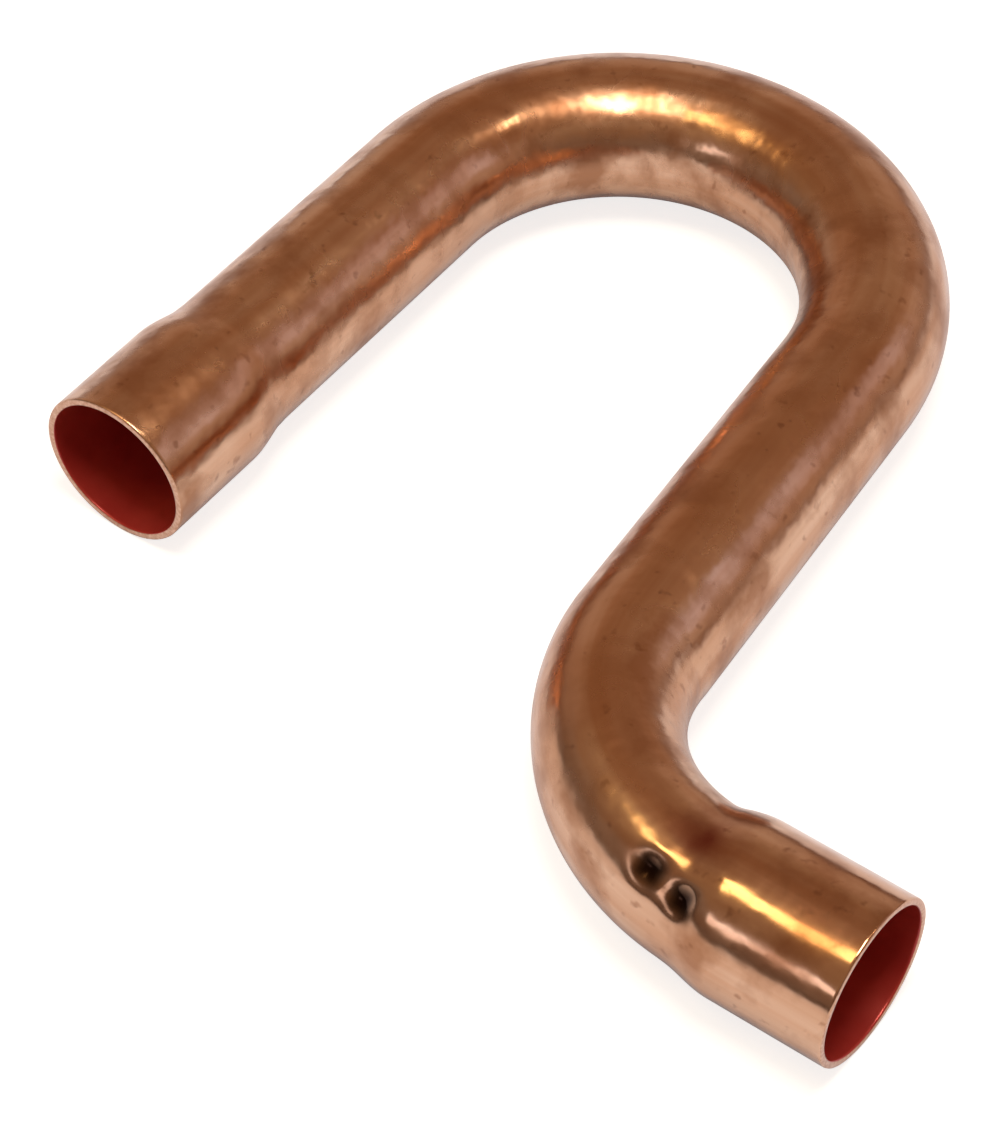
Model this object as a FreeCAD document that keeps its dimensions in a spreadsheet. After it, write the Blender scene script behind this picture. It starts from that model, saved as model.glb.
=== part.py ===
import FreeCAD, Part
import math
import os
import Sketcher

# Copper tube trap: one drawn tube, bent twice and swaged open at both ends.
# The outside and the bore are two bodies made by the same steps, the bore smaller by one
# wall all over, and the tube is the first cut by the second.
# The origin is the middle of the inlet mouth. The tube enters along +Y and leaves along +X.

SIZES = [
    ("tube_od", 22.2, "outside of the drawn tube"),
    ("wall", 1.14, "wall of the drawn tube"),
    ("socket_clearance", 0.18, "by which the bore of both sockets is wider than the same tube"),
    ("socket_depth", 18.0, "how far a tube goes in"),
    ("swage_length", 6.5, "from the socket down to the plain tube"),
    ("rim_bevel", 0.3, "deburred edge of the cut ends"),
    ("inlet_straight", 48.2, "plain tube between the inlet swage and the return bend"),
    ("return_radius", 37.2, "return bend, to the centre line"),
    ("leg_lean", 4.7, "degrees by which the middle leg leans off the inlet leg"),
    ("leg_run", 58.2, "middle leg"),
    ("elbow_radius", 31.3, "outlet bend, to the centre line"),
    ("elbow_squeeze", 0.06, "share by which the outlet bend is flattened at its middle"),
    ("outlet_straight", 0.5, "plain tube between the outlet bend and its swage"),
    ("dent_setback", 22.4, "nearer dent behind the outlet socket, from the outlet mouth"),
    ("dent_pitch", 5.0, "from one dent to the next"),
    ("dent_angle", 42.0, "degrees from the top of the tube round to the dents"),
    ("dent_round", 4.5, "radius of the hollow of a dent"),
    ("dent_depth", 0.9, "depth of a dent at its deepest point"),
]

doc = FreeCAD.newDocument("tube_trap")
sheet = doc.addObject("Spreadsheet::Sheet", "dims")
for row, (alias, value, note) in enumerate(SIZES, start=1):
    sheet.set(f"A{row}", str(value))
    sheet.set(f"B{row}", note)
    sheet.setAlias(f"A{row}", alias)
doc.recompute()

# Formulas that more than one feature needs
TUBE_RADIUS = "dims.tube_od / 2"
SOCKET_RADIUS = "(dims.tube_od + dims.socket_clearance) / 2 + dims.wall"
SOCKET_AND_SWAGE = "dims.socket_depth + dims.swage_length"
INLET_RUN = f"{SOCKET_AND_SWAGE} + dims.inlet_straight"
OUTLET_RUN = f"{SOCKET_AND_SWAGE} + dims.outlet_straight"
BOTH_RADII = "(dims.return_radius + dims.elbow_radius)"
OUTLET_X = (f"dims.return_radius + {BOTH_RADII} * cos(dims.leg_lean)"
            f" + dims.leg_run * sin(dims.leg_lean) + {OUTLET_RUN}")
OUTLET_Y = (f"{INLET_RUN} + {BOTH_RADII} * sin(dims.leg_lean)"
            " - dims.leg_run * cos(dims.leg_lean) - dims.elbow_radius")


def number(formula):
    """The present value of a formula, for the first guess of a sketch."""
    return float(sheet.evalExpression(formula))


def point(x, y):
    return FreeCAD.Vector(x, y, 0)


def bind(sketch, formula, *constraint):
    """Add a sized constraint and tie it to a formula."""
    index = sketch.addConstraint(Sketcher.Constraint(*constraint, number(formula)))
    sketch.setExpression(f"Constraints[{index}]", formula)


def tie(sketch, *constraints):
    for constraint in constraints:
        sketch.addConstraint(Sketcher.Constraint(*constraint))


def arc(centre, radius, start_deg, end_deg):
    circle = Part.Circle(centre, FreeCAD.Vector(0, 0, 1), radius)
    return Part.ArcOfCircle(circle, math.radians(start_deg), math.radians(end_deg))


def on_ground_plane(body, kind, name):
    """A feature on the body's own XY plane, which is the plane of the two bends."""
    feature = body.newObject(kind, name)
    plane = next(o for o in body.Origin.OriginFeatures if o.Role == "XY_Plane")
    feature.AttachmentSupport = [(plane, "")]
    feature.MapMode = "FlatFace"
    return feature


def route(body):
    """The centre line from the return bend to the end of the outlet bend."""
    sketch = on_ground_plane(body, "Sketcher::SketchObject", "route")
    lean = number("dims.leg_lean")
    across = math.cos(math.radians(lean))
    along = math.sin(math.radians(lean))
    big = number("dims.return_radius")
    small = number("dims.elbow_radius")
    length = number("dims.leg_run")
    centre = point(big, number(INLET_RUN))
    leg_start = centre + point(big * across, big * along)
    leg_end = leg_start + point(length * along, -length * across)
    elbow_centre = leg_end + point(small * across, small * along)
    bend = sketch.addGeometry(arc(centre, big, lean, 180))
    leg = sketch.addGeometry(Part.LineSegment(leg_start, leg_end))
    elbow = sketch.addGeometry(arc(elbow_centre, small, 180 + lean, 270))
    tie(sketch,
        ("PointOnObject", bend, 2, -2),
        ("Horizontal", bend, 2, bend, 3),
        ("Tangent", bend, 1, leg, 1),
        ("Tangent", leg, 2, elbow, 1),
        ("Vertical", elbow, 2, elbow, 3))
    bind(sketch, INLET_RUN, "DistanceY", -1, 1, bend, 2)
    bind(sketch, "dims.return_radius", "Radius", bend)
    bind(sketch, "180 - dims.leg_lean", "Angle", bend)
    bind(sketch, "dims.leg_run", "Distance", leg)
    bind(sketch, "dims.elbow_radius", "Radius", elbow)
    doc.recompute()
    return sketch


def section(body, path, edge, share, radius, squeeze=None):
    """A round or squeezed section square to one edge of the route, its long axis upright."""
    sketch = body.newObject("Sketcher::SketchObject", f"section_{edge}")
    sketch.AttachmentSupport = [(path, edge)]
    sketch.MapMode = "NormalToEdge"
    sketch.MapPathParameter = share
    upright = FreeCAD.Rotation(FreeCAD.Vector(0, 0, 1), 90)
    sketch.AttachmentOffset = FreeCAD.Placement(point(0, 0), upright)
    if squeeze is None:
        sketch.addGeometry(Part.Circle(point(0, 0), FreeCAD.Vector(0, 0, 1), number(radius)))
        tie(sketch, ("Coincident", 0, 3, -1, 1))
        bind(sketch, radius, "Radius", 0)
    else:
        long_axis = f"2 * ({radius}) * (1 + {squeeze} / 2)"
        short_axis = f"2 * ({radius}) * (1 - {squeeze})"
        tip = point(number(long_axis) / 2, 0)
        side = point(0, number(short_axis) / 2)
        sketch.addGeometry(Part.Ellipse(tip, side, point(0, 0)))
        sketch.exposeInternalGeometry(0)
        tie(sketch, ("Coincident", 0, 3, -1, 1), ("Horizontal", 1))
        bind(sketch, long_axis, "Distance", 1)
        bind(sketch, short_axis, "Distance", 2)
    doc.recompute()
    return sketch


def sweep(body, name, path, edge, radius, squeeze=None):
    """Tube along one edge of the route, round at its ends and, if asked, squeezed half way."""
    feature = body.newObject("PartDesign::AdditivePipe", name)
    feature.Profile = section(body, path, edge, 0.0, radius)
    feature.Spine = (path, [edge])
    if squeeze is not None:
        feature.Transformation = "Multisection"
        feature.Sections = [section(body, path, edge, 0.5, radius, squeeze),
                            section(body, path, edge, 1.0, radius)]
    doc.recompute()


def tube_end(body, name, tube_radius, socket_radius, run, turn, place=None):
    """Socket, swage and plain tube, turned about an axis that runs in from the mouth."""
    sketch = on_ground_plane(body, "Sketcher::SketchObject", f"{name}_profile")
    spin = FreeCAD.Rotation(FreeCAD.Vector(0, 0, 1), turn)
    sketch.AttachmentOffset = FreeCAD.Placement(point(0, 0), spin)
    if place is not None:
        sketch.setExpression(".AttachmentOffset.Base.x", place[0])
        sketch.setExpression(".AttachmentOffset.Base.y", place[1])
    wide = number(socket_radius)
    narrow = number(tube_radius)
    depth = number("dims.socket_depth")
    slope = number("dims.swage_length")
    length = number(run)
    step = wide - narrow
    curve = (slope ** 2 + step ** 2) / (4 * step)
    sweep_deg = math.degrees(math.asin(slope / 2 / curve))
    axis, mouth, socket, shoulder, neck, tube, back = sketch.addGeometry([
        Part.LineSegment(point(0, 0), point(0, length)),
        Part.LineSegment(point(0, 0), point(wide, 0)),
        Part.LineSegment(point(wide, 0), point(wide, depth)),
        arc(point(wide - curve, depth), curve, 0, sweep_deg),
        arc(point(narrow + curve, depth + slope), curve, 180, 180 + sweep_deg),
        Part.LineSegment(point(narrow, depth + slope), point(narrow, length)),
        Part.LineSegment(point(narrow, length), point(0, length)),
    ])
    tie(sketch,
        ("Coincident", axis, 1, -1, 1), ("PointOnObject", axis, 2, -2),
        ("Coincident", mouth, 1, -1, 1), ("Horizontal", mouth),
        ("Coincident", socket, 1, mouth, 2), ("Vertical", socket),
        ("Tangent", socket, 2, shoulder, 1), ("Tangent", shoulder, 2, neck, 2),
        ("Equal", shoulder, neck), ("Tangent", neck, 1, tube, 1), ("Vertical", tube),
        ("Coincident", tube, 2, back, 1), ("Coincident", back, 2, axis, 2), ("Horizontal", back))
    bind(sketch, run, "DistanceY", axis, 1, axis, 2)
    bind(sketch, socket_radius, "DistanceX", mouth, 1, mouth, 2)
    bind(sketch, "dims.socket_depth", "DistanceY", socket, 1, socket, 2)
    bind(sketch, "dims.swage_length", "DistanceY", shoulder, 1, neck, 1)
    bind(sketch, tube_radius, "DistanceX", back, 2, back, 1)
    feature = body.newObject("PartDesign::Revolution", name)
    feature.Profile = sketch
    feature.ReferenceAxis = (sketch, ["V_Axis"])
    feature.Angle = 360
    doc.recompute()


def dent(body, name, setback, inset):
    """A ball pressed into the upper outer side, where the tube buckled behind the socket."""
    ball = on_ground_plane(body, "PartDesign::SubtractiveSphere", name)
    ball.setExpression("Radius", f"dims.dent_round + {inset}")
    reach = f"({TUBE_RADIUS} + dims.dent_round - dims.dent_depth)"
    place = ".AttachmentOffset.Base"
    ball.setExpression(f"{place}.x", f"{OUTLET_X} - ({setback})")
    ball.setExpression(f"{place}.y", f"{OUTLET_Y} - {reach} * sin(dims.dent_angle)")
    ball.setExpression(f"{place}.z", f"{reach} * cos(dims.dent_angle)")
    doc.recompute()


def form(name, inset):
    """The whole tube as a solid, its surface moved in by inset."""
    body = doc.addObject("PartDesign::Body", name)
    radius = f"{TUBE_RADIUS} - {inset}"
    socket = f"{SOCKET_RADIUS} - {inset}"
    path = route(body)
    order = sorted(range(3), key=lambda i: -path.Shape.Edges[i].CenterOfMass.y)
    bend, leg, elbow = (f"Edge{i + 1}" for i in order)
    tube_end(body, f"{name}_inlet", radius, socket, INLET_RUN, 0)
    sweep(body, f"{name}_return", path, bend, radius)
    sweep(body, f"{name}_leg", path, leg, radius)
    sweep(body, f"{name}_elbow", path, elbow, radius, "dims.elbow_squeeze")
    tube_end(body, f"{name}_outlet", radius, socket, OUTLET_RUN, 90, (OUTLET_X, OUTLET_Y))
    dent(body, f"{name}_near_dent", "dims.dent_setback", inset)
    dent(body, f"{name}_far_dent", "dims.dent_setback + dims.dent_pitch", inset)
    return body


# The tube is the outside form with the bore form taken out of it
tube = form("outside", "0")
bore = form("bore", "dims.wall")
hollow = tube.newObject("PartDesign::Boolean", "hollow")
hollow.Type = "Cut"
hollow.setObjects([bore])
doc.recompute()

# Both cut ends are deburred: the edges round a mouth centre are its inner and outer rim
mouths = [point(0, 0), point(number(OUTLET_X), number(OUTLET_Y))]
rim_edges = []
for index, edge in enumerate(hollow.Shape.Edges, start=1):
    centre = edge.CenterOfMass
    if any(centre.distanceToPoint(mouth) < 0.01 for mouth in mouths):
        rim_edges.append(f"Edge{index}")
rims = tube.newObject("PartDesign::Chamfer", "rims")
rims.Base = (hollow, rim_edges)
rims.setExpression("Size", "dims.rim_bevel")
tube.Label = "trap_tube"
tube.Placement = FreeCAD.Placement()
doc.recompute()

for feature in doc.Objects:
    if "Invalid" in feature.State or "Error" in feature.State:
        raise RuntimeError(f"{feature.Name} did not build")
if tube.Shape.isNull() or not tube.Shape.isValid():
    raise RuntimeError("the tube is not a sound solid")

os.makedirs("parts", exist_ok=True)
tube.Shape.exportStep(f"parts/{tube.Label}.step")
box = tube.Shape.optimalBoundingBox()
print(f"{tube.Label}: {len(tube.Shape.Solids)} solid, {tube.Shape.Volume:.0f} mm3,"
      f" rims {len(rim_edges)}, box {box.XLength:.1f} x {box.YLength:.1f} x {box.ZLength:.1f}")
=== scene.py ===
# %% [markdown]
# # A bent copper trap
# One length of drawn copper tube, bent twice and opened into a socket at both ends.
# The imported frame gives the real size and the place; this file gives the tube its finished
# surface, a plain studio and a camera.

# %% Load the frame
import math
from collections import namedtuple

import bmesh
import bpy
from mathutils import Matrix, Vector


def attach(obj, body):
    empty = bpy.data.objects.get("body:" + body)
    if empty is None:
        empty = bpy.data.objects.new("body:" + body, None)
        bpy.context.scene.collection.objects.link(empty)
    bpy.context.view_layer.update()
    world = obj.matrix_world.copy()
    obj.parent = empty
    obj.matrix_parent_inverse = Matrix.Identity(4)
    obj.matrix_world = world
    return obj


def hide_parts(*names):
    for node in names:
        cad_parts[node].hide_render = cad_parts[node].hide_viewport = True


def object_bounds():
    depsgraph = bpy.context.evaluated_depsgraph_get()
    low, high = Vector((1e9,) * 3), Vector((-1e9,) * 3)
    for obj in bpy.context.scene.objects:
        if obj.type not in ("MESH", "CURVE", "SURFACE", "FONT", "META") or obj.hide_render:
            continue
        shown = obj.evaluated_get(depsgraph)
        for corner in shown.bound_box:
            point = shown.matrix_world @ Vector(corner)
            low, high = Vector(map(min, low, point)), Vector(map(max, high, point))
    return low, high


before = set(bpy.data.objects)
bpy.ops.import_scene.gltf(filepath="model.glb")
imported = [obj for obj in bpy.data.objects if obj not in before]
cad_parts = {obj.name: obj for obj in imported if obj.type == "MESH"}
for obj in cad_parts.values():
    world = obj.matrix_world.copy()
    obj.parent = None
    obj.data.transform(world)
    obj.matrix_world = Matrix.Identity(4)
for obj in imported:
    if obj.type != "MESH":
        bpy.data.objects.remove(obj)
cad_low, cad_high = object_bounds()
print("frame box in mm:", [round(1000 * v, 1) for v in (cad_high - cad_low)])

# %% [markdown]
# ## The sizes of the tube
# A tube is known by its outside, its wall and the radii it is bent to, so these are the
# only numbers the model needs. They are the same ones that the frame was built from, in
# millimetres, and every later step works in metres.

# %% Sizes
MM = 0.001
TUBE_RADIUS = 11.1 * MM
WALL = 1.14 * MM
SOCKET_RADIUS = 12.33 * MM
SOCKET_DEPTH = 18.0 * MM
SWAGE_LENGTH = 6.5 * MM
INLET_STRAIGHT = 48.2 * MM
RETURN_RADIUS = 37.2 * MM
LEG_LEAN = math.radians(4.7)
LEG_RUN = 58.2 * MM
ELBOW_RADIUS = 31.3 * MM
ELBOW_SQUEEZE = 0.06
OUTLET_STRAIGHT = 0.5 * MM
RIM_BEVEL = 0.3 * MM
AROUND = 128
print("tube outside:", 2 * TUBE_RADIUS / MM, "mm, wall:", WALL / MM, "mm")

# %% [markdown]
# ## Drawing the tube out of one ring
# A real trap starts as a straight tube that is pushed round two formers. The mesh is made
# in the same order: one circle of vertices at the inlet mouth is extruded along the
# straights and spun round the bends. A curve with a bevel would be quicker, but here every
# ring stays square to the tube, so that sockets and dents can be worked into it later.

# %% The pen that carries the ring
sleeve = bmesh.new()
pen = {"at": Vector((0, 0, 0)), "heading": math.radians(90), "run": 0.0}
route = []


def forward():
    """The way the tube is going, in the plane of the bends."""
    return Vector((math.cos(pen["heading"]), math.sin(pen["heading"]), 0))


def straight(ring, length, steps):
    """Extrude the ring straight on, step by step, and note the run in the route."""
    route.append(("straight", pen["at"].copy(), forward(), length, pen["run"]))
    for _ in range(steps):
        made = bmesh.ops.extrude_edge_only(sleeve, edges=ring)["geom"]
        verts = [g for g in made if isinstance(g, bmesh.types.BMVert)]
        bmesh.ops.translate(sleeve, verts=verts, vec=forward() * length / steps)
        fresh = set(verts)
        ring = [g for g in made if isinstance(g, bmesh.types.BMEdge) and fresh.issuperset(g.verts)]
    pen["at"] += forward() * length
    pen["run"] += length
    return ring


def bend(ring, radius, turn, steps):
    """Spin the ring round a former: a positive turn goes left, a negative one right."""
    side = 1 if turn > 0 else -1
    to_centre = Vector((-forward().y, forward().x, 0)) * side
    centre = pen["at"] + to_centre * radius
    route.append(("bend", centre, -to_centre, turn, radius, pen["run"]))
    verts = list({v for e in ring for v in e.verts})
    last = bmesh.ops.spin(sleeve, geom=verts + ring, cent=centre, axis=(0, 0, 1), dvec=(0, 0, 0),
                          angle=turn, steps=steps, use_merge=False)["geom_last"]
    pen["at"] = centre + Matrix.Rotation(turn, 3, "Z") @ (-to_centre * radius)
    pen["heading"] += turn
    pen["run"] += radius * abs(turn)
    return [g for g in last if isinstance(g, bmesh.types.BMEdge)]


# %% From the inlet mouth to the outlet mouth
upright = Matrix.Rotation(math.radians(90), 4, "X")
bmesh.ops.create_circle(sleeve, cap_ends=False, segments=AROUND, radius=TUBE_RADIUS, matrix=upright)
ring = list(sleeve.edges)
ring = straight(ring, SOCKET_DEPTH + SWAGE_LENGTH, steps=36)
ring = straight(ring, INLET_STRAIGHT, steps=20)
ring = bend(ring, RETURN_RADIUS, LEG_LEAN - math.pi, steps=72)
ring = straight(ring, LEG_RUN, steps=24)
ring = bend(ring, ELBOW_RADIUS, math.pi / 2 - LEG_LEAN, steps=96)
ring = straight(ring, OUTLET_STRAIGHT, steps=1)
ring = straight(ring, SWAGE_LENGTH + SOCKET_DEPTH, steps=48)
TOTAL_RUN = pen["run"]
print("tube length along its middle:", round(TOTAL_RUN / MM, 1), "mm, outlet mouth at",
      [round(v / MM, 2) for v in pen["at"]])

# %% [markdown]
# ## Where a point lies on the straightened tube
# Bending marks and drawing lines belong to the tube, not to the room, so each point is
# given its place on the tube before it was bent: how far along, and which way out from the
# middle. The same numbers later carry the pattern of the metal.

# %% Unrolling the route
Spot = namedtuple("Spot", "gap along middle right share elbow")


def unroll(point):
    """The nearest place on the route: how far along it is, its middle, and the way to its right."""
    best = None
    for piece in route:
        if piece[0] == "straight":
            _, start, ahead, length, run = piece
            share = min(max((point - start).dot(ahead) / length, 0.0), 1.0)
            middle = start + ahead * length * share
            along = run + length * share
            elbow = False
        else:
            _, centre, first, turn, radius, run = piece
            flat = (point - centre) * Vector((1, 1, 0))
            swung = math.atan2(first.x * flat.y - first.y * flat.x, first.dot(flat))
            share = min(max(swung / turn, 0.0), 1.0)
            spoke = Matrix.Rotation(turn * share, 3, "Z") @ first
            middle = centre + spoke * radius
            ahead = Vector((-spoke.y, spoke.x, 0)) * (1 if turn > 0 else -1)
            along = run + radius * abs(turn) * share
            elbow = radius == ELBOW_RADIUS
        gap = (point - middle).length
        if best is None or gap < best.gap - 1e-7:
            best = Spot(gap, along, middle, Vector((ahead.y, -ahead.x, 0)), share, elbow)
    return best


spots = [unroll(vert.co) for vert in sleeve.verts]
print("route pieces:", len(route), "points placed:", len(spots))

# %% [markdown]
# ## Opening the sockets
# A socket is opened by driving a plug into the end of the tube. The metal swells over the
# plug and draws down behind it in a soft shoulder. The outlet's shoulder sits deeper on the
# inner side of the bend than on the outer side, most likely because its plug was driven in
# after bending.
# Every vertex keeps its direction out from the middle and only its radius is changed. The
# shoulder is eased a little further than in the frame, since worked metal has no hard line.

# %% Sockets and flattened bend
OUTLET_DRIFT = 1.5 * MM
OUTLET_SKEW = 1.5 * MM
SWAGE_EASE = 2.0 * MM


def socket_radius(from_mouth):
    """Radius at a distance from a mouth: socket, soft shoulder, plain tube."""
    part = min(max((from_mouth - SOCKET_DEPTH) / (SWAGE_LENGTH + SWAGE_EASE), 0.0), 1.0)
    ease = (1 - math.cos(math.pi * part)) / 2
    return SOCKET_RADIUS + (TUBE_RADIUS - SOCKET_RADIUS) * ease


for vert, spot in zip(sleeve.verts, spots):
    out = (vert.co - spot.middle) / TUBE_RADIUS
    side = out.dot(spot.right)
    from_outlet = TOTAL_RUN - spot.along - OUTLET_DRIFT + OUTLET_SKEW * side
    out *= max(socket_radius(spot.along), socket_radius(from_outlet))
    if spot.elbow:
        squeeze = ELBOW_SQUEEZE * 4 * spot.share * (1 - spot.share)
        out -= spot.right * out.dot(spot.right) * squeeze
        out.z *= 1 + squeeze / 2
    vert.co = spot.middle + out
print("radii in mm:", round(min((v.co - s.middle).length for v, s in zip(sleeve.verts, spots)) / MM, 2),
      "to", round(max((v.co - s.middle).length for v, s in zip(sleeve.verts, spots)) / MM, 2))

# %% [markdown]
# ## Two dents behind the outlet socket
# Where the outlet was opened so close to the bend, the wall seems to have buckled into two
# small hollows side by side on the upper outer face, each with a steep upper wall and a low
# raised lip.
# They are pressed into the mesh, and the hollows are noted for a painted shade that
# darkens the inside of each dent. They were placed over the photograph, so they sit about
# 2 mm further from the mouth than in the frame.

# %% Dents
DENTS = ((24.2 * MM, math.radians(48)), (29.2 * MM, math.radians(42)))
DENT_DEPTH = 0.9 * MM
DENT_LENGTH = 1.7 * MM
UPPER_WALL = 1.5 * MM
LOWER_WALL = 2.1 * MM
LIP_HEIGHT = 0.14 * MM
LIP_ABOVE = 2.7 * MM
LIP_WIDTH = 0.8 * MM
# The painted shade inside each dent: its length, its width and its offset round the tube.
SHADE_LENGTH = 2.1 * MM
SHADE_WIDTH = 2.3 * MM
SHADE_BELOW = 0.3 * MM
FLAT_TOPPED = 4


def hump(distance, width, power=2):
    """A smooth hump: 1 in the middle, nearly 0 from twice the width on."""
    return math.exp(-abs(distance / width) ** power)


# Each vertex notes how much painted shade it takes inside a dent.
painted_fold_shade = sleeve.verts.layers.float.new("painted_fold_shade")
deepest = 0.0
for vert, spot in zip(sleeve.verts, spots):
    out = vert.co - spot.middle
    push = 0.0
    for place, angle in DENTS:
        off = TOTAL_RUN - spot.along - place
        around = (math.atan2(out.dot(spot.right), out.z) - angle) * TUBE_RADIUS
        hollow = hump(around, UPPER_WALL if around < 0 else LOWER_WALL)
        lip = hump(around + LIP_ABOVE, LIP_WIDTH)
        push += (DENT_DEPTH * hollow - LIP_HEIGHT * lip) * hump(off, DENT_LENGTH)
        dark = hump(off, SHADE_LENGTH, FLAT_TOPPED) * hump(around - SHADE_BELOW, SHADE_WIDTH, FLAT_TOPPED)
        vert[painted_fold_shade] = max(vert[painted_fold_shade], dark)
    vert.co -= out.normalized() * push
    deepest = max(deepest, push)
bmesh.ops.recalc_face_normals(sleeve, faces=sleeve.faces)
print("deepest dent:", round(deepest / MM, 2), "mm")

# %% [markdown]
# ## The wall
# The sleeve has no thickness yet. Solidify gives the metal its even wall, and a narrow
# bevel takes the sharpness off both cut ends, as a reamer does.

# %% Wall and deburred ends
RIM_ANGLE = math.radians(60)
bmesh.ops.solidify(sleeve, geom=list(sleeve.faces), thickness=WALL)
sleeve.normal_update()
rim_edges = [e for e in sleeve.edges if len(e.link_faces) == 2 and e.calc_face_angle() > RIM_ANGLE]
bmesh.ops.bevel(sleeve, geom=rim_edges, offset=RIM_BEVEL, offset_type="OFFSET", segments=2, profile=0.5,
                affect="EDGES", material=-1)
sleeve.normal_update()
print("rim edges bevelled:", len(rim_edges))

# %% [markdown]
# ## Sorting the faces
# The skin, the bore and the cut ends have different finishes, so each face is told apart by
# which way it faces from the middle of the tube. Each point also keeps its place on the
# straightened tube, for the pattern of the metal.

# %% Outside, bore and cut ends, and the place of each point
OUTSIDE, BORE, CUT_END = range(3)
for face in sleeve.faces:
    face.smooth = True
    middle = face.calc_center_median()
    facing = face.normal.dot((middle - unroll(middle).middle).normalized())
    face.material_index = OUTSIDE if facing > 0.5 else BORE if facing < -0.5 else CUT_END

place = sleeve.verts.layers.float_vector.new("along_tube")
for vert in sleeve.verts:
    spot = unroll(vert.co)
    out = vert.co - spot.middle
    vert[place] = (out.dot(spot.right), out.z, spot.along)

mesh = bpy.data.meshes.new("trap_tube_finish")
sleeve.to_mesh(mesh)
sleeve.free()
tube = bpy.data.objects.new("trap_tube_finish", mesh)
bpy.context.scene.collection.objects.link(tube)
print("tube faces:", len(mesh.polygons))

# %% [markdown]
# ## The metal
# Drawn copper is bright but never even: the die leaves long soft streaks, handling leaves
# brown tarnish, and air spots it with darker oxide. The pattern is read from the place on
# the straightened tube, so the streaks run along the tube and turn with its bends.


# %% Colours and nodes
def linear(hex_colour):
    """An sRGB hex colour as the linear colour that a shader works with."""
    parts = [int(hex_colour[i:i + 2], 16) / 255 for i in (1, 3, 5)]
    return [p / 12.92 if p <= 0.04045 else ((p + 0.055) / 1.055) ** 2.4 for p in parts] + [1.0]


def add_node(tree, kind, inputs=(), stops=(), **settings):
    """Add a node, change its settings, fill or link its inputs, and place its colour stops."""
    made = tree.nodes.new(kind)
    for name, value in settings.items():
        setattr(made, name, value)
    for key, value in dict(inputs).items():
        if isinstance(value, bpy.types.NodeSocket):
            tree.links.new(value, made.inputs[key])
        else:
            made.inputs[key].default_value = value
    for index, (where, colour) in enumerate(stops):
        band = made.color_ramp.elements
        stop = band[index] if index < 2 else band.new(where)
        stop.position = where
        stop.color = linear(colour)
    return made


def new_material(name):
    """An empty material and its nodes."""
    material = bpy.data.materials.new(name)
    material.use_nodes = True
    material.node_tree.nodes.clear()
    return material, material.node_tree


print("plain white as a shader colour:", linear("#ffffff"))

# %% Drawn copper, lightly tarnished
# Gives a soft mirror: orange-brown where it shows a dim room, tan where it shows the paper.
copper, tree = new_material("drawn_copper_tarnished")
spot = add_node(tree, "ShaderNodeAttribute", attribute_name="along_tube").outputs["Vector"]
STREAK_WIDTH = 4.0 * MM
STREAK_LENGTH = 120.0 * MM
HANDLED_SIZE = 24.0 * MM
TARNISH_SIZE = 8.0 * MM
stretched = add_node(tree, "ShaderNodeMapping", {"Vector": spot, "Scale": (
    1 / STREAK_WIDTH, 1 / STREAK_WIDTH, 1 / STREAK_LENGTH)}).outputs[0]
streak = add_node(tree, "ShaderNodeTexNoise", {
    "Vector": stretched, "Scale": 1.0, "Detail": 3.0}).outputs["Fac"]
tone = add_node(tree, "ShaderNodeValToRGB", {"Fac": streak},
                stops=((0.32, "#cb946f"), (0.68, "#e6bc9e"))).outputs["Color"]
handled = add_node(tree, "ShaderNodeTexNoise", {
    "Vector": spot, "Scale": 1 / HANDLED_SIZE, "Detail": 2.0}).outputs["Fac"]
patches = add_node(tree, "ShaderNodeMapRange", {
    "Value": handled, "From Min": 0.42, "From Max": 0.62, "To Min": 0.0, "To Max": 0.55}).outputs[0]
tone = add_node(tree, "ShaderNodeMix", {
    0: patches, 6: tone, 7: linear("#bc8058")}, data_type="RGBA").outputs[2]
tarnish = add_node(tree, "ShaderNodeTexNoise", {
    "Vector": spot, "Scale": 1 / TARNISH_SIZE, "Detail": 4.0, "Roughness": 0.5}).outputs["Fac"]
browned = add_node(tree, "ShaderNodeMapRange", {
    "Value": tarnish, "From Min": 0.46, "From Max": 0.68, "To Min": 0.0, "To Max": 0.85}).outputs[0]
aged = add_node(tree, "ShaderNodeMix", {
    0: browned, 6: tone, 7: linear("#a87250")}, data_type="RGBA").outputs[2]
print("copper tone nodes:", len(tree.nodes))

# %% [markdown]
# ## Specks, a painted dark reflection and painted shade
# Stored copper freckles with small brown spots, a thin film of oxide. Beside the dents a
# dark red patch is a painted dark reflection, and the dents are darkened inside with painted
# shade. All three change only the colour, so they are laid over the tone one after another.

# %% Oxide specks, a painted dark reflection beside the dents, and painted shade in the dents
# Specks give the small brown freckles; the painted dark reflection and the painted shade give a red and a
# near black patch.
# The middle of the painted dark reflection is told as right of the top, up, and along the straightened tube.
SPECK_SIZE = 2.2 * MM
DARK_REFLECTION_REACH = 6.0 * MM
DARK_REFLECTION_MIDDLE = (0.8 * MM, 11.0 * MM, TOTAL_RUN - 25.4 * MM)
freckle = add_node(tree, "ShaderNodeTexNoise", {
    "Vector": spot, "Scale": 1 / SPECK_SIZE, "Detail": 2.0}).outputs["Fac"]
specks = add_node(tree, "ShaderNodeMapRange", {
    "Value": freckle, "From Min": 0.64, "From Max": 0.76, "To Min": 0.0, "To Max": 0.5}).outputs[0]
freckled = add_node(tree, "ShaderNodeMix", {
    0: specks, 6: aged, 7: linear("#8a5538")}, data_type="RGBA").outputs[2]
away = add_node(tree, "ShaderNodeVectorMath", {
    0: spot, 1: DARK_REFLECTION_MIDDLE}, operation="DISTANCE").outputs["Value"]
ragged = add_node(tree, "ShaderNodeMath", {0: tarnish, 1: -2.0 * DARK_REFLECTION_REACH, 2: away},
                  operation="MULTIPLY_ADD").outputs[0]
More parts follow.
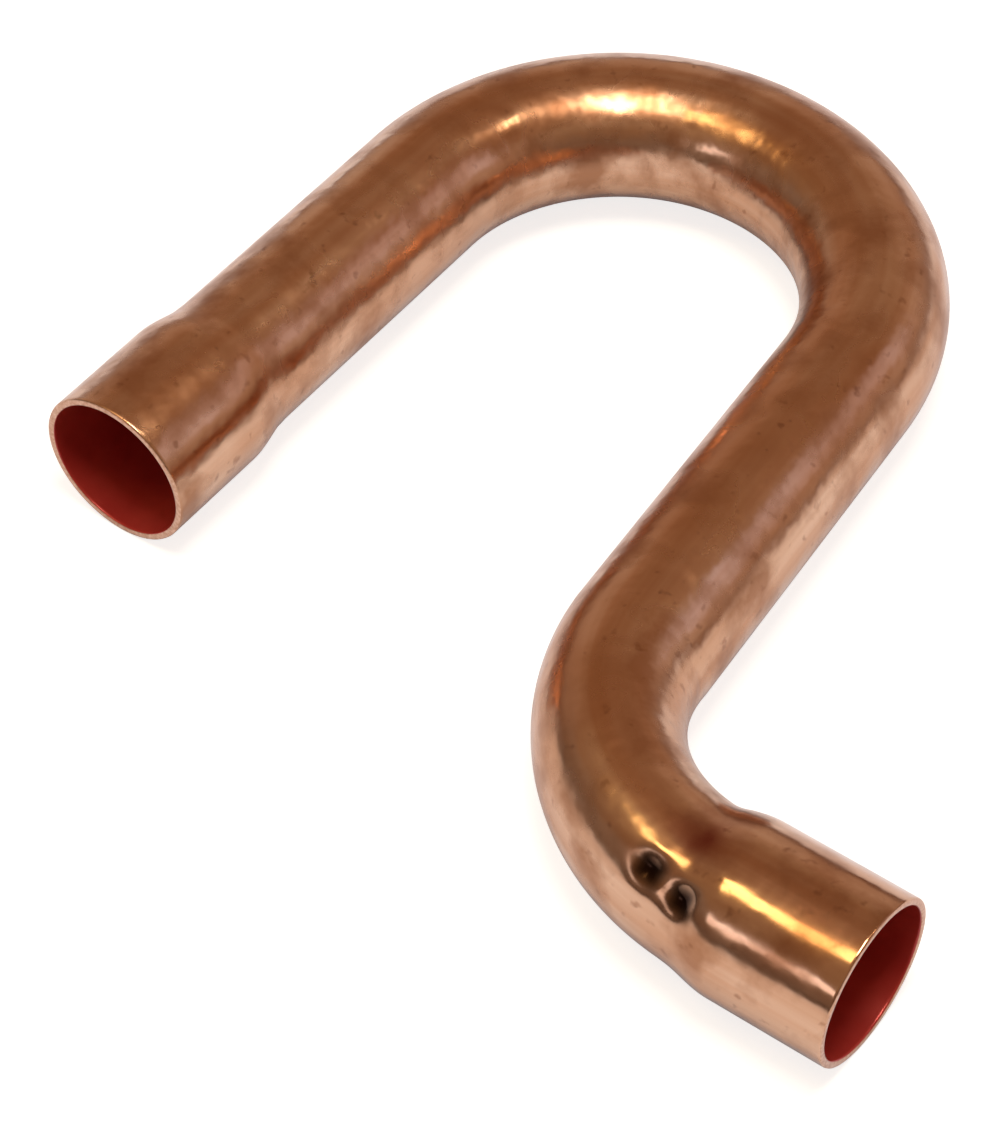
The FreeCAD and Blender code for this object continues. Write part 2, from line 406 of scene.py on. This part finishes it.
# The dark red here is a painted reflection, ragged at its edge by the tarnish noise.
painted_dark_reflection = add_node(tree, "ShaderNodeMapRange", {
    "Value": ragged, "From Min": -DARK_REFLECTION_REACH, "From Max": 0.2 * DARK_REFLECTION_REACH,
    "To Min": 0.9, "To Max": 0.0}).outputs[0]
dark_reflection_painted = add_node(tree, "ShaderNodeMix", {
    0: painted_dark_reflection, 6: freckled, 7: linear("#80302a")}, data_type="RGBA").outputs[2]
# Near black painted shade inside the dents, laid over the tone.
fold = add_node(tree, "ShaderNodeAttribute", attribute_name="painted_fold_shade").outputs["Fac"]
fold_shaded = add_node(tree, "ShaderNodeMix", {
    0: fold, 6: dark_reflection_painted, 7: linear("#2a1a14")}, data_type="RGBA").outputs[2]
print("with specks, stain and folds:", len(tree.nodes))

# %% [markdown]
# ## The feel of the surface
# Drawn and bent tube is not a flat mirror: the room wavers in it, fine lines run along it,
# and tarnished places are duller than bright ones. Two bumps and a roughness give that, and
# bump is enough, as none of it can be seen in the outline.

# %% Surface of the copper: drawing lines, a slight waviness and duller patches
# The outlet socket looks smoother and mirrors more sharply, as if it was worked last.
# Real drawing lines are far finer; they are coarsened to 0.9 mm so that a picture shows them.
DRAW_LINE_WIDTH = 0.9 * MM
DRAW_LINE_LENGTH = 40 * DRAW_LINE_WIDTH
WAVE_SIZE = 6.0 * MM
SMOOTHER_FROM = 40.0 * MM
SMOOTHEST_FROM = 20.0 * MM
fine = add_node(tree, "ShaderNodeMapping", {"Vector": spot, "Scale": (
    1 / DRAW_LINE_WIDTH, 1 / DRAW_LINE_WIDTH, 1 / DRAW_LINE_LENGTH)}).outputs[0]
lines = add_node(tree, "ShaderNodeTexNoise", {"Vector": fine, "Scale": 1.0, "Detail": 2.0}).outputs["Fac"]
wave = add_node(tree, "ShaderNodeTexNoise", {
    "Vector": spot, "Scale": 1 / WAVE_SIZE, "Detail": 2.0}).outputs["Fac"]
along = add_node(tree, "ShaderNodeSeparateXYZ", {0: spot}).outputs["Z"]
older = add_node(tree, "ShaderNodeMapRange", {
    "Value": along, "From Min": TOTAL_RUN - SMOOTHER_FROM, "From Max": TOTAL_RUN - SMOOTHEST_FROM,
    "To Min": 1.0, "To Max": 0.6}, interpolation_type="SMOOTHSTEP").outputs[0]
ripple = add_node(tree, "ShaderNodeMath", {0: wave, 1: older}, operation="MULTIPLY").outputs[0]
uneven = add_node(tree, "ShaderNodeBump", {
    "Height": ripple, "Strength": 0.55, "Distance": 0.5 * MM}).outputs[0]
lined = add_node(tree, "ShaderNodeBump", {
    "Height": lines, "Strength": 0.15, "Distance": 0.02 * MM, "Normal": uneven}).outputs[0]
dull = add_node(tree, "ShaderNodeMapRange", {
    "Value": tarnish, "From Min": 0.35, "From Max": 0.70, "To Min": 0.17, "To Max": 0.34}).outputs[0]
rough = add_node(tree, "ShaderNodeMath", {0: dull, 1: older, 2: 0.02}, operation="MULTIPLY_ADD").outputs[0]
metal = add_node(tree, "ShaderNodeBsdfPrincipled", {
    "Base Color": fold_shaded, "Metallic": 1.0, "Roughness": rough, "Normal": lined})
add_node(tree, "ShaderNodeOutputMaterial", {"Surface": metal.outputs[0]})
print("copper nodes:", len(tree.nodes))

# %% [markdown]
# ## The inside and the ends
# The bore was never polished or handled, and the ends were cut and reamed last, so both
# differ from the skin of the tube. Each gets a small material of its own.

# %% The bore
# Gives the deep red of both mouths: partly a film of red oxide left by annealing, partly a painted
# reflection of the copper bore mirroring itself.
bore, tree = new_material("bore_red_oxide_and_painted_reflection")
spot = add_node(tree, "ShaderNodeAttribute", attribute_name="along_tube").outputs["Vector"]
film = add_node(tree, "ShaderNodeTexNoise", {
    "Vector": spot, "Scale": 1 / TARNISH_SIZE, "Detail": 4.0}).outputs["Fac"]
tone = add_node(tree, "ShaderNodeValToRGB", {"Fac": film},
                stops=((0.3, "#b43430"), (0.7, "#cc4840"))).outputs["Color"]
metal = add_node(tree, "ShaderNodeBsdfPrincipled", {"Base Color": tone, "Metallic": 0.3, "Roughness": 0.28})
add_node(tree, "ShaderNodeOutputMaterial", {"Surface": metal.outputs[0]})
print("bore nodes:", len(tree.nodes))

# %% The cut ends
# Gives the thin pale rims: a saw and a reamer leave fresh pink metal with fine marks, which
# are coarsened to 0.6 mm here.
cut, tree = new_material("fresh_cut_copper")
spot = add_node(tree, "ShaderNodeAttribute", attribute_name="along_tube").outputs["Vector"]
CUT_MARK = 0.6 * MM
marks = add_node(tree, "ShaderNodeTexNoise", {
    "Vector": spot, "Scale": 1 / CUT_MARK, "Detail": 2.0}).outputs["Fac"]
tone = add_node(tree, "ShaderNodeValToRGB", {"Fac": marks},
                stops=((0.3, "#c08a6c"), (0.7, "#e0b498"))).outputs["Color"]
metal = add_node(tree, "ShaderNodeBsdfPrincipled", {"Base Color": tone, "Metallic": 1.0, "Roughness": 0.35})
add_node(tree, "ShaderNodeOutputMaterial", {"Surface": metal.outputs[0]})
print("cut end nodes:", len(tree.nodes))

# %% [markdown]
# ## Dressing the tube
# The three materials go on in the order of the face numbers. The finished tube then takes
# the place of the plain one in the frame and moves with the whole part.

# %% Dress the tube and hand it to the frame
for material in (copper, bore, cut):
    mesh.materials.append(material)
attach(tube, "root")
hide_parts("trap_tube")
print("materials:", [m.name for m in mesh.materials])

# %% [markdown]
# ## The studio
# Bent metal shows the room it lies in, so the room is part of the picture: a white sheet
# underneath, a dim warm ceiling with a few lamps, pale walls behind and a low window in
# front. The sheet is a plain white floor that glows just enough to read as white. In the
# metal it looks slightly cool, as paper by a window does, and darker close under the tube,
# where a contact shadow is painted into its glow.

# %% Floor
FLOOR_SIZE = 3.0
PAPER_GLOW = 0.78
CONTACT_REACH = 18 * MM
floor_mesh = bpy.data.meshes.new("paper_floor")
sheet = bmesh.new()
bmesh.ops.create_grid(sheet, x_segments=1, y_segments=1, size=FLOOR_SIZE,
                      matrix=Matrix.Translation((0, 0, cad_low.z)))
sheet.to_mesh(floor_mesh)
sheet.free()
floor = bpy.data.objects.new("paper_floor", floor_mesh)
bpy.context.scene.collection.objects.link(floor)
paper, tree = new_material("white_paper")
ray = add_node(tree, "ShaderNodeLightPath").outputs
mirrored = add_node(tree, "ShaderNodeMath", {0: ray["Is Glossy Ray"], 1: ray["Is Transmission Ray"]},
                    operation="MAXIMUM").outputs[0]
tint = add_node(tree, "ShaderNodeMix", {0: mirrored, 6: linear("#ffffff"), 7: linear("#cadaf0")},
                data_type="RGBA").outputs[2]
seen = add_node(tree, "ShaderNodeMath", {
    0: ray["Is Camera Ray"], 1: mirrored}, operation="MAXIMUM").outputs[0]
# Painted contact shadow: the glow seen in the metal is darkened close under the tube.
open_sky = add_node(tree, "ShaderNodeAmbientOcclusion", {"Distance": CONTACT_REACH}, samples=4).outputs["AO"]
shaded = add_node(tree, "ShaderNodeMix", {0: mirrored, 2: 1.0, 3: open_sky}).outputs[0]
level = add_node(tree, "ShaderNodeMath", {0: seen, 1: shaded}, operation="MULTIPLY").outputs[0]
level = add_node(tree, "ShaderNodeMath", {0: level, 1: PAPER_GLOW}, operation="MULTIPLY").outputs[0]
glow = add_node(tree, "ShaderNodeEmission", {"Color": tint, "Strength": level}).outputs[0]
matte = add_node(tree, "ShaderNodeBsdfDiffuse", {"Color": linear("#c4c4c4")}).outputs[0]
both = add_node(tree, "ShaderNodeAddShader", {0: glow, 1: matte}).outputs[0]
add_node(tree, "ShaderNodeOutputMaterial", {"Surface": both})
floor_mesh.materials.append(paper)
print("floor at", round(cad_low.z / MM, 2), "mm")

# %% [markdown]
# ## The room
# Most of what the tube shows is the room. Its front is dim and its back is paler, both
# warm toward the ceiling, with a dark line at the foot of the walls that gives the tube the
# thin dark edge between the room and the paper. The camera itself sees plain white there.

# %% World: white behind the sheet, a dim room in the metal
world = bpy.data.worlds.new("studio")
world.use_nodes = True
bpy.context.scene.world = world
tree = world.node_tree
tree.nodes.clear()
toward = add_node(tree, "ShaderNodeTexCoord").outputs["Generated"]
parts = add_node(tree, "ShaderNodeSeparateXYZ", {0: toward}).outputs
front = add_node(tree, "ShaderNodeValToRGB", {"Fac": parts["Z"]}, stops=(
    (0.0, "#5a4a40"), (0.05, "#544840"), (0.12, "#7c6c60"), (0.36, "#8c7c70"), (0.55, "#94795f"),
    (0.8, "#9c8066"))).outputs["Color"]
behind = add_node(tree, "ShaderNodeValToRGB", {"Fac": parts["Z"]}, stops=(
    (0.0, "#6a4838"), (0.06, "#7a5a48"), (0.16, "#bca696"), (0.42, "#b89e8a"), (0.62, "#9c7e64"),
    (0.8, "#967860"))).outputs["Color"]
depth = add_node(tree, "ShaderNodeMapRange", {"Value": parts["Y"], "From Min": -0.35, "From Max": 0.4},
                 interpolation_type="SMOOTHSTEP").outputs[0]
room = add_node(tree, "ShaderNodeMix", {0: depth, 6: front, 7: behind}, data_type="RGBA").outputs[2]
dim = add_node(tree, "ShaderNodeBackground", {"Color": room, "Strength": 1.0}).outputs[0]
white = add_node(tree, "ShaderNodeBackground", {"Color": linear("#ffffff"), "Strength": 1.0}).outputs[0]
ray = add_node(tree, "ShaderNodeLightPath").outputs
shown = add_node(tree, "ShaderNodeMixShader", {0: ray["Is Camera Ray"], 1: dim, 2: white}).outputs[0]
add_node(tree, "ShaderNodeOutputWorld", {"Surface": shown})
print("world nodes:", len(tree.nodes))

# %% [markdown]
# ## The lamps
# Three ceiling lamps in a row make the highlights on the return bend and the yellow streak
# on the outlet socket. The window makes the paler streak below it, and a cool panel at the
# side makes the pinkish band along both legs.

# %% Lamps
TRAP_MIDDLE = Vector((55, 45, 0)) * MM
ROW_TURN = math.radians(44)


def lamp(name, place, size, glow, colour, turn=0.0):
    """A rectangular lamp that faces the trap; a glow of 1 is as bright as white paper."""
    data = bpy.data.lights.new(name, "AREA")
    data.shape = "RECTANGLE"
    data.size, data.size_y = size
    data.energy = glow * math.pi * size[0] * size[1]
    data.color = linear(colour)[:3]
    made = bpy.data.objects.new(name, data)
    facing = (Vector(place) - TRAP_MIDDLE).to_track_quat("Z", "Y").to_matrix().to_4x4()
    made.matrix_world = Matrix.Translation(place) @ facing @ Matrix.Rotation(turn, 4, "Z")
    bpy.context.scene.collection.objects.link(made)
    return name, round(data.energy, 2)


print("lamps in W:", [
    lamp("ceiling_lamp_front", (-0.26, -0.34, 0.96), (0.42, 0.24), 4.2, "#ffeaa8", ROW_TURN),
    lamp("ceiling_lamp_middle", (0.17, -0.06, 0.96), (0.34, 0.28), 16.0, "#fff6e4", ROW_TURN),
    lamp("ceiling_lamp_back", (0.42, 0.38, 0.96), (0.14, 0.08), 10.0, "#fff2d6", ROW_TURN),
    lamp("front_window", (-0.26, -1.05, 0.48), (0.45, 0.18), 1.7, "#eef2ff"),
    lamp("side_panel", (0.95, 0.85, 0.68), (0.9, 0.45), 0.45, "#b8d0ff"),
])

# %% [markdown]
# ## The camera
# The photograph was taken from above and to the right, from about half a metre away with a
# long lens. The place was found by laying the outline of the sized tube over the outline of
# the real one.

# %% Camera
AZIMUTH = math.radians(36.47)
ELEVATION = math.radians(48.12)
DISTANCE = 534.6 * MM
LENS_PIXELS = 3846.0
LONG_SIDE = 1128
target = Vector((54.7, 18.3, 0)) * MM
back = Vector((math.sin(AZIMUTH) * math.cos(ELEVATION), -math.cos(AZIMUTH) * math.cos(ELEVATION),
               math.sin(ELEVATION)))
lens = bpy.data.cameras.new("camera")
lens.sensor_width = 36.0
lens.lens = LENS_PIXELS * lens.sensor_width / LONG_SIDE
lens.clip_start = 0.01
camera = bpy.data.objects.new("camera", lens)
camera.rotation_mode = "QUATERNION"
camera.location = target + back * DISTANCE
camera.rotation_quaternion = (-back).to_track_quat("-Z", "Y")
bpy.context.scene.collection.objects.link(camera)
bpy.context.scene.camera = camera
bpy.context.scene.view_settings.view_transform = "Standard"
print("lens:", round(lens.lens, 1), "mm")
